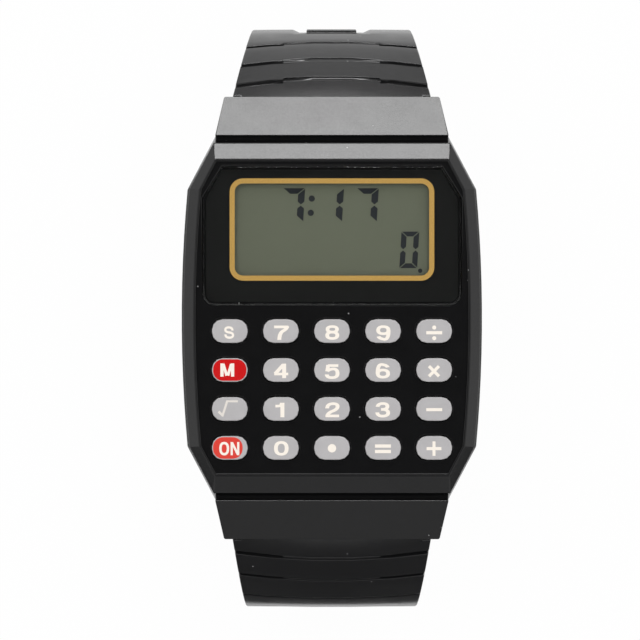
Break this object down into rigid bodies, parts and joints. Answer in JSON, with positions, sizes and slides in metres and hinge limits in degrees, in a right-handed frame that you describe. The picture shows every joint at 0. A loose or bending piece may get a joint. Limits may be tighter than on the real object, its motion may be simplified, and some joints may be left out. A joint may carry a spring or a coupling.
{
  "type": "calculator watch",
  "caption": "Wristwatch with a calculator keypad under a framed liquid-crystal display, faceted resin case and moulded straps with a pin buckle.",
  "frame": {"origin": "on the surface the straps stand on, under the middle of the watch", "axes": "+Z the way the face looks, +Y towards 12 o'clock, +X towards 3 o'clock"},
  "size_m": [0.036, 0.0724, 0.0428],
  "materials": {
    "case_resin": "semi-gloss moulded black resin",
    "strap_resin": "satin moulded black resin",
    "lens_acrylic": "clear acrylic",
    "mask_print": "black print",
    "gold_print": "gold print",
    "lcd_cell": "grey-green display",
    "reflector_foil": "foil",
    "zebra_rubber": "layered silicone",
    "mat_rubber": "silicone sheet",
    "board_laminate": "glass-epoxy laminate",
    "epoxy": "black epoxy",
    "plated_steel": "plated",
    "carrier_plastic": "white moulding",
    "gasket_rubber": "black rubber",
    "cover_steel": "brushed",
    "buckle_steel": "brushed",
    "key_grey": "light grey keys",
    "key_red": "red printed keys"
  },
  "bodies": {
    "case": {"case_front": "case_resin", "lens": "lens_acrylic", "lens_mask": "mask_print", "gold_frame": "gold_print", "lcd_glass": "lcd_cell", "lcd_reflector": "reflector_foil", "zebra_strips": "zebra_rubber", "keypad_mat": "mat_rubber", "circuit_board": "board_laminate", "chip_blob": "epoxy", "crystal_can": "plated_steel", "battery": "plated_steel", "battery_spring": "plated_steel", "battery_clip": "plated_steel", "module_frame": "carrier_plastic", "back_gasket": "gasket_rubber", "back_cover": "cover_steel", "spring_bar_12": "plated_steel", "spring_bar_6": "plated_steel"},
    "strap_12": {"strap_12": "strap_resin"},
    "strap_6": {"strap_6": "strap_resin"},
    "keeper": {"keeper": "strap_resin"},
    "buckle": {"buckle_frame": "buckle_steel", "buckle_bar": "buckle_steel"},
    "tongue": {"buckle_tongue": "buckle_steel"},
    "key_s": {"key_s": "key_grey"},
    "key_7": {"key_7": "key_grey"},
    "key_8": {"key_8": "key_grey"},
    "key_9": {"key_9": "key_grey"},
    "key_divide": {"key_divide": "key_grey"},
    "key_m": {"key_m": "key_red"},
    "key_4": {"key_4": "key_grey"},
    "key_5": {"key_5": "key_grey"},
    "key_6": {"key_6": "key_grey"},
    "key_multiply": {"key_multiply": "key_grey"},
    "key_root": {"key_root": "key_grey"},
    "key_1": {"key_1": "key_grey"},
    "key_2": {"key_2": "key_grey"},
    "key_3": {"key_3": "key_grey"},
    "key_minus": {"key_minus": "key_grey"},
    "key_on": {"key_on": "key_red"},
    "key_0": {"key_0": "key_grey"},
    "key_point": {"key_point": "key_grey"},
    "key_equals": {"key_equals": "key_grey"},
    "key_plus": {"key_plus": "key_grey"}
  },
  "joints": [
    {"name": "strap_12_hinge", "type": "hinge", "parent": "case", "child": "strap_12", "pos_m": [0, 0.0242, 0.0362], "axis": [-1, 0, 0], "range_deg": [0, 5]},
    {"name": "strap_6_hinge", "type": "hinge", "parent": "case", "child": "strap_6", "pos_m": [0, -0.0242, 0.0362], "axis": [1, 0, 0], "range_deg": [0, 8]},
    {"name": "keeper_slide", "type": "slide", "parent": "strap_12", "child": "keeper", "axis": [0, -0.9781, 0.2079], "range_m": [0, 0.005]},
    {"name": "buckle_hinge", "type": "hinge", "parent": "strap_12", "child": "buckle", "pos_m": [0, 0.00476, 0.00504], "axis": [-1, 0, 0], "range_deg": [0, 95]},
    {"name": "tongue_hinge", "type": "hinge", "parent": "buckle", "child": "tongue", "pos_m": [0, 0.00476, 0.00504], "axis": [1, 0, 0], "range_deg": [0, 100]},
    {"name": "key_s_press", "type": "slide", "parent": "case", "child": "key_s", "axis": [0, 0, -1], "range_m": [0, 0.00055], "stiffness_N_per_m": 1500},
    {"name": "key_7_press", "type": "slide", "parent": "case", "child": "key_7", "axis": [0, 0, -1], "range_m": [0, 0.00055], "stiffness_N_per_m": 1500},
    {"name": "key_8_press", "type": "slide", "parent": "case", "child": "key_8", "axis": [0, 0, -1], "range_m": [0, 0.00055], "stiffness_N_per_m": 1500},
    {"name": "key_9_press", "type": "slide", "parent": "case", "child": "key_9", "axis": [0, 0, -1], "range_m": [0, 0.00055], "stiffness_N_per_m": 1500},
    {"name": "key_divide_press", "type": "slide", "parent": "case", "child": "key_divide", "axis": [0, 0, -1], "range_m": [0, 0.00055], "stiffness_N_per_m": 1500},
    {"name": "key_m_press", "type": "slide", "parent": "case", "child": "key_m", "axis": [0, 0, -1], "range_m": [0, 0.00055], "stiffness_N_per_m": 1500},
    {"name": "key_4_press", "type": "slide", "parent": "case", "child": "key_4", "axis": [0, 0, -1], "range_m": [0, 0.00055], "stiffness_N_per_m": 1500},
    {"name": "key_5_press", "type": "slide", "parent": "case", "child": "key_5", "axis": [0, 0, -1], "range_m": [0, 0.00055], "stiffness_N_per_m": 1500},
    {"name": "key_6_press", "type": "slide", "parent": "case", "child": "key_6", "axis": [0, 0, -1], "range_m": [0, 0.00055], "stiffness_N_per_m": 1500},
    {"name": "key_multiply_press", "type": "slide", "parent": "case", "child": "key_multiply", "axis": [0, 0, -1], "range_m": [0, 0.00055], "stiffness_N_per_m": 1500},
    {"name": "key_root_press", "type": "slide", "parent": "case", "child": "key_root", "axis": [0, 0, -1], "range_m": [0, 0.00055], "stiffness_N_per_m": 1500},
    {"name": "key_1_press", "type": "slide", "parent": "case", "child": "key_1", "axis": [0, 0, -1], "range_m": [0, 0.00055], "stiffness_N_per_m": 1500},
    {"name": "key_2_press", "type": "slide", "parent": "case", "child": "key_2", "axis": [0, 0, -1], "range_m": [0, 0.00055], "stiffness_N_per_m": 1500},
    {"name": "key_3_press", "type": "slide", "parent": "case", "child": "key_3", "axis": [0, 0, -1], "range_m": [0, 0.00055], "stiffness_N_per_m": 1500},
    {"name": "key_minus_press", "type": "slide", "parent": "case", "child": "key_minus", "axis": [0, 0, -1], "range_m": [0, 0.00055], "stiffness_N_per_m": 1500},
    {"name": "key_on_press", "type": "slide", "parent": "case", "child": "key_on", "axis": [0, 0, -1], "range_m": [0, 0.00055], "stiffness_N_per_m": 1500},
    {"name": "key_0_press", "type": "slide", "parent": "case", "child": "key_0", "axis": [0, 0, -1], "range_m": [0, 0.00055], "stiffness_N_per_m": 1500},
    {"name": "key_point_press", "type": "slide", "parent": "case", "child": "key_point", "axis": [0, 0, -1], "range_m": [0, 0.00055], "stiffness_N_per_m": 1500},
    {"name": "key_equals_press", "type": "slide", "parent": "case", "child": "key_equals", "axis": [0, 0, -1], "range_m": [0, 0.00055], "stiffness_N_per_m": 1500},
    {"name": "key_plus_press", "type": "slide", "parent": "case", "child": "key_plus", "axis": [0, 0, -1], "range_m": [0, 0.00055], "stiffness_N_per_m": 1500}
  ]
}
